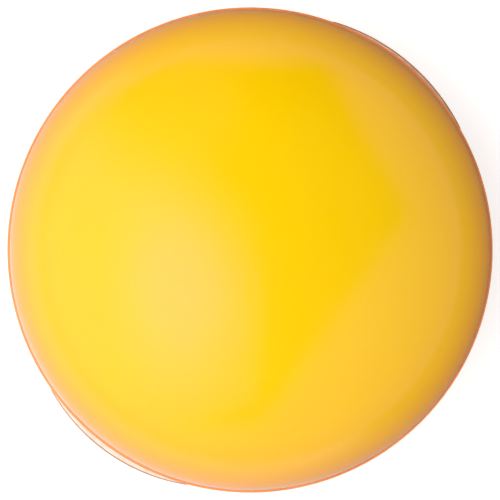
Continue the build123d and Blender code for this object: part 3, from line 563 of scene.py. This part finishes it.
def make_grip(name):
    """A ridged crescent that follows the band, with two pegs behind it."""
    points = [vertex.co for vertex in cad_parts[name].data.vertices]
    heading = sum((point.xy for point in points), Vector((0.0, 0.0))).normalized()
    middle = atan2(heading.y, heading.x)
    crown = max(point.xy.length for point in points)
    half_span = max(heading.angle(point.xy) for point in points)
    peg_tip = min(point.xy.length for point in points)
    low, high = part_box(name)
    level = (low.z + high.z) / 2
    back = STONE_RADIUS - GRIP_DEPTH
    rings, ridges = [], []
    for station in range(GRIP_STATIONS + 1):
        share = -1 + 2 * station / GRIP_STATIONS
        turn = middle + share * half_span
        proud = GRIP_DEPTH + (crown - STONE_RADIUS) * (1 - share**2)
        ring = []
        for depth, height, ridge in grip_section(proud, (high.z - low.z) / 2):
            radius = back + depth
            ring.append((radius * cos(turn), radius * sin(turn), level + height))
            ridges.append(ridge)
        rings.append(ring)
    shapes = [skin(rings)]
    for offset in (-PEG_OFFSET, PEG_OFFSET):
        outward = Vector((cos(middle + offset), sin(middle + offset), 0.0))
        peg = peg_rings(outward, level, peg_tip, back)
        shapes.append(skin(peg))
        ridges += [0.0] * (len(peg) * PEG_SIDES)
    material = grip_material(name + "_rubber", *GRIP_COLORS_WITH_PAINTED_LIGHT[name])
    grip = make_piece(name + "_moulding", shapes, material, "stone", [name])
    attribute = grip.data.attributes.new(RIDGE_ATTRIBUTE, "FLOAT", "POINT")
    attribute.data.foreach_set("value", ridges)


# --- Fasteners ------------------------------------------------------------------------------------
SCREW_SIDES = 48
# Wider than any one fastener of its group, and narrower than the space between two.
FASTENER_REACH = 12 * MM
SMALL_SCREW_REACH = 8 * MM

# Each cap screw's head and shank, and half the width of its hexagon across flats.
CASE_SCREW = {"head_height": 5.0 * MM, "head_radius": 4.25 * MM, "shank_radius": 2.5 * MM}
CASE_SCREW_SOCKET = 1.99 * MM
BALLAST_BOLT = {"head_height": 6.0 * MM, "head_radius": 5.0 * MM, "shank_radius": 3.0 * MM}
BALLAST_BOLT_SOCKET = 2.51 * MM
UNIT_SCREW = {"head_radius": 2.9 * MM, "shank_radius": 1.5 * MM}
# Each insert's outer radius and bore radius.
INSERTS = {"case_inserts": (3.6 * MM, 2.55 * MM), "ballast_inserts": (4.05 * MM, 3.05 * MM)}

HEAD_EDGE = 0.4 * MM
HEAD_KNURL_DEPTH = 0.15 * MM
HEAD_KNURL_COUNT = 16
SOCKET_DEPTH_SHARE = 0.55
SOCKET_LEAD_IN = 0.2 * MM
SOCKET_FLARE = 1.08
FILLET_SHARE = 1.1
FILLET_HEIGHT = 0.3 * MM
# Where the plain neck ends, and where the thread starts, from the head's seat.
NECK_END = 2.0 * MM
THREAD_START = 2.2 * MM
SCREW_TIP = 1.0 * MM
SCREW_TIP_SHARE = 0.72

PITCH = 1.0 * MM
SMALL_PITCH = 0.9 * MM
THREAD_LEVELS_PER_TURN = 5
# How far the threads' crests are flattened, as a stretch of the wave that is cut off at 1.
CREST_FLATTENING = 1.25
MINOR_SHARE = 0.84

# The cross recess, as arm length and half width: at its floor, and at the head's face.
CROSS_FLOOR = (1.0 * MM, 0.3 * MM)
CROSS_FACE = (1.3 * MM, 0.35 * MM)
CROSS_DEPTH = 1.0 * MM
CROSS_LEAD_IN = 0.1 * MM
FLAT_EDGE = 0.1 * MM
FLAT_RIM = 0.15 * MM
FLAT_THREAD_GAP = 0.6 * MM
FLAT_TIP = 1.2 * MM
FLAT_TIP_SHARE = 0.25

# An insert's belts: shares of its length, and whether the knurling stands out there.
INSERT_BELTS = [
    (0.0, False),
    (0.04, True),
    (0.42, True),
    (0.45, False),
    (0.55, False),
    (0.58, True),
    (0.94, True),
    (1.0, False),
]
INSERT_GROOVE = 0.5 * MM
INSERT_KNURL_DEPTH = 0.3 * MM
INSERT_KNURL_COUNT = 12
INSERT_LEAD_IN = 0.4 * MM
INSERT_THREAD_DEPTH = 0.3 * MM


def hexagon(apothem):
    """The radius of a hexagon by turn."""
    return lambda turn, _: apothem / cos((turn + pi / 6) % (pi / 3) - pi / 6)


def cross_slot(arm, half_width):
    """The radius of a plus-shaped recess by turn."""

    def radius(turn, _):
        off_arm = abs((turn + pi / 4) % (pi / 2) - pi / 4)
        if sin(off_arm) * arm <= half_width * cos(off_arm):
            return arm / cos(off_arm)
        return half_width / sin(off_arm)

    return radius


def thread(minor, major, pitch):
    """The radius of a screw thread by turn and height."""

    def radius(turn, height):
        along = (height / pitch - turn / (2 * pi)) % 1.0
        return minor + (major - minor) * min(1.0, CREST_FLATTENING * abs(2 * along - 1))

    return radius


def knurl(radius, depth, count):
    """The radius of straight knurling by turn."""
    return lambda turn, _: radius - depth * (0.5 - 0.5 * cos(count * turn))


def thread_profile(start, stop, major, pitch):
    """A threaded stretch from one height to another."""
    steps = round(abs(stop - start) / pitch * THREAD_LEVELS_PER_TURN)
    form = thread(MINOR_SHARE * major, major, pitch)
    return [(start + (stop - start) * step / steps, form) for step in range(steps + 1)]


def socket_screw(centre, top, tip, socket, head_height, head_radius, shank_radius):
    """A cap screw. Its socket is at top, and it points to tip, up or down."""
    way = 1 if tip > top else -1
    seat = top + way * head_height
    head = knurl(head_radius, HEAD_KNURL_DEPTH, HEAD_KNURL_COUNT)
    profile = [
        (top + way * SOCKET_DEPTH_SHARE * head_height, socket),
        (top + way * SOCKET_LEAD_IN, socket),
        (top, lambda turn, height: socket(turn, height) * SOCKET_FLARE),
        (top, head_radius - HEAD_EDGE),
        (top + way * HEAD_EDGE, head),
        (seat - way * HEAD_EDGE, head),
        (seat, head_radius - HEAD_EDGE),
        (seat, shank_radius * FILLET_SHARE),
        (seat + way * FILLET_HEIGHT, shank_radius),
        (seat + way * NECK_END, shank_radius),
    ]
    profile += thread_profile(seat + way * THREAD_START, tip - way * SCREW_TIP, shank_radius, PITCH)
    profile.append((tip, shank_radius * SCREW_TIP_SHARE))
    return lathe(centre, profile, SCREW_SIDES)


def countersunk_screw(centre, top, tip, head_radius, shank_radius):
    """A flat-headed screw with a cross recess. It points up."""
    recess = cross_slot(*CROSS_FACE)
    cone = top + head_radius - shank_radius
    profile = [
        (top + CROSS_DEPTH, cross_slot(*CROSS_FLOOR)),
        (top + CROSS_LEAD_IN, recess),
        (top, recess),
        (top, head_radius - FLAT_EDGE),
        (top + FLAT_RIM, head_radius),
        (cone + FLAT_RIM, shank_radius),
    ]
    profile += thread_profile(cone + FLAT_THREAD_GAP, tip - FLAT_TIP, shank_radius, SMALL_PITCH)
    profile.append((tip, FLAT_TIP_SHARE * shank_radius))
    return lathe(centre, profile, SCREW_SIDES)


def knurled_insert(centre, low, high, outer, bore):
    """A threaded insert with two knurled belts and a groove between them."""
    belt = knurl(outer, INSERT_KNURL_DEPTH, INSERT_KNURL_COUNT)
    length = high - low
    profile = [
        (low + share * length, belt if stands_out else outer - INSERT_GROOVE)
        for share, stands_out in INSERT_BELTS
    ]
    profile.append((high, bore + INSERT_LEAD_IN))
    form = thread(bore, bore + INSERT_THREAD_DEPTH, PITCH)
    steps = round(length / PITCH * THREAD_LEVELS_PER_TURN)
    threaded = length - 2 * INSERT_LEAD_IN
    for step in range(steps + 1):
        profile.append((high - INSERT_LEAD_IN - threaded * step / steps, form))
    profile.append((low, bore + INSERT_LEAD_IN))
    return lathe(centre, profile, SCREW_SIDES, closed=True)


def make_fasteners(screw_steel):
    """Screws and inserts with real threads, heads and knurling, in place of the plain ones."""
    low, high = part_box("case_screws")
    socket = hexagon(CASE_SCREW_SOCKET)
    screws = [
        socket_screw(centre, low.z, high.z, socket, **CASE_SCREW)
        for centre in solids_of("case_screws", FASTENER_REACH)
    ]
    make_piece("case_cap_screws", screws, screw_steel, "stone", ["case_screws"])
    low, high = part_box("ballast_bolts")
    socket = hexagon(BALLAST_BOLT_SOCKET)
    bolts = [
        socket_screw(centre, high.z, low.z, socket, **BALLAST_BOLT)
        for centre in solids_of("ballast_bolts", FASTENER_REACH)
    ]
    make_piece("ballast_cap_bolts", bolts, screw_steel, "stone", ["ballast_bolts"])
    low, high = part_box("unit_screws")
    screws = [
        countersunk_screw(centre, low.z, high.z, **UNIT_SCREW)
        for centre in solids_of("unit_screws", SMALL_SCREW_REACH)
    ]
    make_piece("unit_flat_screws", screws, screw_steel, "stone", ["unit_screws"])
    brass = brass_material()
    for node, (outer, bore) in INSERTS.items():
        low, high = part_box(node)
        inserts = [
            knurled_insert(centre, low.z, high.z, outer, bore)
            for centre in solids_of(node, FASTENER_REACH)
        ]
        make_piece(node + "_knurled", inserts, brass, "stone", [node])


# --- Soft pieces ----------------------------------------------------------------------------------
# Blender's solid noise starts from the clock unless it has a seed.
NOISE_SEED = 11
FELT_FUZZ = 0.06 * MM
FELT_FUZZ_SCALE = 900.0
FELT_SECTION_STEPS = 24
FELT_SQUARENESS = 6.0
FELT_SIDES = 120
SEAL_SECTION_STEPS = 32
SEAL_SIDES = 240
# How far the seal's section fills its box: upright, across, and across at the two flash lines.
SEAL_FILL_UP, SEAL_FILL_ACROSS, SEAL_FILL_FLASH = 0.97, 0.95, 1.0
FOAM_VOXEL = 0.6 * MM
FOAM_SMOOTHING = 0.5
FOAM_SMOOTHING_STEPS = 6
FOAM_UNEVENNESS = 0.08 * MM
FOAM_UNEVENNESS_SCALE = 260.0


def ring_section(inner, outer, low, high, steps, squareness):
    """A closed section for a ring: a rounded rectangle, rounder as squareness nears 2."""
    section = []
    for step in range(steps):
        turn = 2 * pi * step / steps
        across = abs(cos(turn)) ** (2 / squareness) * (1 if cos(turn) > 0 else -1)
        up = abs(sin(turn)) ** (2 / squareness) * (1 if sin(turn) > 0 else -1)
        radius = (inner + outer) / 2 + across * (outer - inner) / 2
        section.append(((low + high) / 2 + up * (high - low) / 2, radius))
    return section


def make_felt_seals():
    """Felt wipers: soft-cornered rings with a fibrous, uneven surface."""
    felt = felt_material()
    for number in UNITS:
        node = f"felt_seal_{number}"
        centre = unit_centre(number)
        low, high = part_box(node)
        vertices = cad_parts[node].data.vertices
        inner = min((vertex.co.xy - centre.xy).length for vertex in vertices) + FELT_FUZZ
        outer = (high.x - low.x) / 2 - FELT_FUZZ
        bottom, top = low.z + FELT_FUZZ, high.z - FELT_FUZZ
        section = ring_section(inner, outer, bottom, top, FELT_SECTION_STEPS, FELT_SQUARENESS)
        points, faces = lathe(centre, section, FELT_SIDES, closed=True)
        ruffled = []
        for point in map(Vector, points):
            ruffled.append(point + solid_noise.noise_vector(point * FELT_FUZZ_SCALE) * FELT_FUZZ)
        make_piece(f"felt_wiper_{number}", [(ruffled, faces)], felt, "stone", [node])


def make_seam_seal():
    """A moulded rubber ring with a thin flash line inside and outside."""
    low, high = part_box("seam_seal")
    outer = (high.x - low.x) / 2
    half = (high.z - low.z) / 2
    section = []
    for step in range(SEAL_SECTION_STEPS):
        turn = 2 * pi * step / SEAL_SECTION_STEPS
        flash = SEAL_FILL_FLASH if step % (SEAL_SECTION_STEPS // 2) == 0 else SEAL_FILL_ACROSS
        height = low.z + half + SEAL_FILL_UP * half * sin(turn)
        section.append((height, outer - half + flash * half * cos(turn)))
    ring = lathe(ORIGIN, section, SEAL_SIDES, closed=True)
    rubber = rubber_material("seal_black", SEAL_BLACK)
    make_piece("seam_ring", [ring], rubber, "stone", ["seam_seal"])


def make_foam_pad():
    """The pad under the casting: foam with pressed, rounded edges and an uneven skin."""
    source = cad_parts["ballast_pad"]
    pad = bpy.data.objects.new("ballast_foam", source.data.copy())
    bpy.context.scene.collection.objects.link(pad)
    remesh = pad.modifiers.new("remesh", "REMESH")
    remesh.mode = "VOXEL"
    remesh.voxel_size = FOAM_VOXEL
    remesh.use_smooth_shade = True
    relax = pad.modifiers.new("relax", "SMOOTH")
    relax.factor = FOAM_SMOOTHING
    relax.iterations = FOAM_SMOOTHING_STEPS
    evaluated = pad.evaluated_get(bpy.context.evaluated_depsgraph_get())
    shaped = bpy.data.meshes.new_from_object(evaluated)
    pad.modifiers.clear()
    pad.data = shaped
    for vertex in shaped.vertices:
        uneven = solid_noise.noise_vector(vertex.co * FOAM_UNEVENNESS_SCALE)
        vertex.co += uneven * FOAM_UNEVENNESS
    shaped.materials.clear()
    shaped.materials.append(foam_material())
    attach(pad, "stone")
    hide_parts("ballast_pad")


# --- Stage ----------------------------------------------------------------------------------------
FLOOR_SIZE = 12.0
FLOOR_ALBEDO = 0.6
FLOOR_GLOW = 0.6
# Painted shade in reflections: they see the floor's colour darkened by this share.
FLOOR_REFLECTED = 0.35
# Reflections alone see a painted pool of light on the floor, brighter towards the key light: the
# direction, from where to where along it, and how bright.
FLOOR_BRIGHT_SIDE = (-0.84, -0.54, 0.0)
FLOOR_BRIGHT_START = -0.11
FLOOR_BRIGHT_STOP = 0.2
FLOOR_BRIGHT = 1.1
HORIZON = 1.15
HORIZON_REFLECTED = 0.8
# The horizon's white is full below the first height, as the sine of an elevation, and gone above
# the second.
HORIZON_HEIGHTS = (0.09, 0.2)
# The sky's wings. Each is bright where a direction reaches past all of its edges. An edge has a
# level direction, how far along it, out of 1, the edge lies, and how soft it is.
WINGS = [
    [((-1.0, 0.0), -0.03, 0.06), ((-0.69, -0.73), 0.08, 0.25), ((-0.3, 0.95), -0.74, 0.06)],
    [((0.81, -0.58), 0.55, 0.06)],
    [((0.87, 0.49), 0.80, 0.06)],
    [((0.0, 1.0), 0.94, 0.06)],
    [((0.0, -1.0), 0.87, 0.06)],
]
SKY_LEFT = 1.25
SKY_RIGHT = 0.72
# A soft glow on the key light's side: the level direction to its middle, its reach in X and in Y,
# its strength there, and how many reaches away it ends.
GLOW_MIDDLE = (-0.36, -0.19)
GLOW_REACH = (0.24, 0.39)
GLOW_STRENGTH = 2.2
GLOW_END = 2.0

LENS, SENSOR = 135.0, 36.0
SHARE_OF_FRAME = 0.966


def make_floor():
    """A wide, very pale floor, lit from below for the camera, as a light table is. Reflections see it
    darker, as painted shade, with a painted pool of light towards the key light.
    """
    bpy.ops.mesh.primitive_plane_add(size=FLOOR_SIZE, location=(0.0, 0.0, 0.0))
    floor = bpy.context.object
    floor.name = "floor"
    material, tree, shader = new_material("floor_white", (FLOOR_ALBEDO,) * 3, roughness=0.9)
    shader.inputs["Specular IOR Level"].default_value = 0.0
    shader.inputs["Emission Color"].default_value = (1.0, 1.0, 1.0, 1.0)
    path = add(tree, "LightPath", {})
    glow = compute(tree, "MULTIPLY", path.outputs["Is Camera Ray"], FLOOR_GLOW)
    # Painted light for reflections only: a glow on the key light's side of the floor.
    side = dot(tree, place(tree), FLOOR_BRIGHT_SIDE)
    bright = spread(
        tree, side, 0.0, FLOOR_BRIGHT, FLOOR_BRIGHT_START, FLOOR_BRIGHT_STOP, kind="SMOOTHSTEP"
    )
    bright = compute(tree, "MULTIPLY", path.outputs["Is Glossy Ray"], bright)
    tree.links.new(compute(tree, "ADD", glow, bright), shader.inputs["Emission Strength"])
    # Painted shade for reflections only: a darker floor colour.
    darkened = FLOOR_ALBEDO * FLOOR_REFLECTED
    albedo = spread(tree, path.outputs["Is Glossy Ray"], low=FLOOR_ALBEDO, high=darkened)
    tree.links.new(albedo, shader.inputs["Base Color"])
    floor.data.materials.append(material)


def make_light(name, aim_height, direction, distance, size, power, reflected):
    """A soft oval light that shines at a point on the stone's axis, its long side along Y."""
    light = bpy.data.lights.new(name, "AREA")
    light.shape = "ELLIPSE"
    light.size, light.size_y = size
    light.energy = power
    lamp = bpy.data.objects.new(name, light)
    bpy.context.scene.collection.objects.link(lamp)
    lamp.visible_glossy = reflected
    away = Vector(direction).normalized()
    lamp.location = UPWARD * aim_height + away * distance
    lamp.rotation_euler = (asin(-away.y), atan2(away.x, away.z), 0.0)


def make_lights():
    """The key light shows as a reflection. The other three only lift the shading on their sides."""
    make_light(
        "key", CROWN_HEIGHT, (-0.42, -0.22, 1.0), distance=1.2, size=(0.6, 0.9), power=0.35, reflected=True
    )
    make_light(
        "fill", RIM_HEIGHT, (-0.53, 0.63, 0.57), distance=1.3, size=(1.4, 1.4), power=5.9, reflected=False
    )
    make_light(
        "side", RIM_HEIGHT, (-0.95, -0.25, 0.2), distance=1.3, size=(1.2, 1.2), power=3.2, reflected=False
    )
    make_light(
        "overhead", RIM_HEIGHT, (0.6, 0.1, 1.0), distance=1.3, size=(2.6, 2.6), power=4.4, reflected=False
    )


def sky_opening(tree, direction):
    """How open the tent is in a direction: 1 in its dark opening, 0 on any of its wings."""
    opening = None
    for edges in WINGS:
        wing = None
        for (x, y), reach, softness in edges:
            past = dot(tree, direction, (x, y, 0.0))
            edge = spread(tree, past, 0.0, 1.0, reach - softness, reach + softness, kind="SMOOTHSTEP")
            wing = edge if wing is None else compute(tree, "MULTIPLY", wing, edge)
        clear = compute(tree, "SUBTRACT", 1.0, wing)
        opening = clear if opening is None else compute(tree, "MULTIPLY", opening, clear)
    return opening


def make_world():
    """A light tent: bright wings round a dark opening overhead, and an even white horizon."""
    world = bpy.data.worlds.new("studio")
    bpy.context.scene.world = world
    world.use_nodes = True
    tree = world.node_tree
    direction = add(tree, "TexCoord", {}).outputs["Generated"]
    cover = compute(tree, "SUBTRACT", 1.0, sky_opening(tree, direction))
    across = dot(tree, direction, (1.0, 0.0, 0.0))
    tent = spread(tree, across, low=SKY_LEFT, high=SKY_RIGHT, start=-1.0, stop=1.0)
    tent = compute(tree, "MULTIPLY", tent, cover)
    middle = (*GLOW_MIDDLE, 0.0)
    from_middle = add(tree, "VectorMath", {0: direction, 1: middle}, operation="SUBTRACT").outputs[0]
    stretch = (1 / GLOW_REACH[0], 1 / GLOW_REACH[1], 0.0)
    in_reaches = add(tree, "VectorMath", {0: from_middle, 1: stretch}, operation="MULTIPLY").outputs[0]
    away = add(tree, "VectorMath", {0: in_reaches}, operation="LENGTH").outputs["Value"]
    glow = spread(tree, away, low=GLOW_STRENGTH, high=0.0, stop=GLOW_END, kind="SMOOTHSTEP")
    tent = compute(tree, "ADD", tent, glow)
    white, tented = HORIZON_HEIGHTS
    up = dot(tree, direction, (0.0, 0.0, 1.0))
    low = spread(tree, up, low=1.0, high=0.0, start=white, stop=tented, kind="SMOOTHSTEP")
    seen = add(tree, "LightPath", {}).outputs["Is Camera Ray"]
    horizon = spread(tree, seen, low=HORIZON_REFLECTED, high=HORIZON)
    horizon = compute(tree, "MULTIPLY", low, horizon)
    upper = compute(tree, "MULTIPLY", compute(tree, "SUBTRACT", 1.0, low), tent)
    background = tree.nodes["Background"]
    tree.links.new(compute(tree, "ADD", horizon, upper), background.inputs["Strength"])
    background.inputs["Color"].default_value = (1.0, 1.0, 1.0, 1.0)


def make_camera():
    """A camera straight above the stone, with the stone's edge just inside the frame."""
    height = RIM_HEIGHT + STONE_RADIUS * LENS / (SENSOR / 2) / SHARE_OF_FRAME
    data = bpy.data.cameras.new("camera")
    data.lens = LENS
    data.sensor_width = SENSOR
    camera = bpy.data.objects.new("camera", data)
    bpy.context.scene.collection.objects.link(camera)
    camera.location = (0.0, 0.0, height)
    bpy.context.scene.camera = camera


make_camera()
make_world()
make_floor()
make_lights()
zinc_plated = steel_material("screw_steel", SCREW_STEEL, roughness=0.32)
finish_stone(zinc_plated)
make_grip("thumb_grip")
make_grip("finger_grip")
make_fasteners(zinc_plated)
solid_noise.seed_set(NOISE_SEED)
make_felt_seals()
make_seam_seal()
make_foam_pad()
bpy.context.scene.view_settings.view_transform = "Standard"
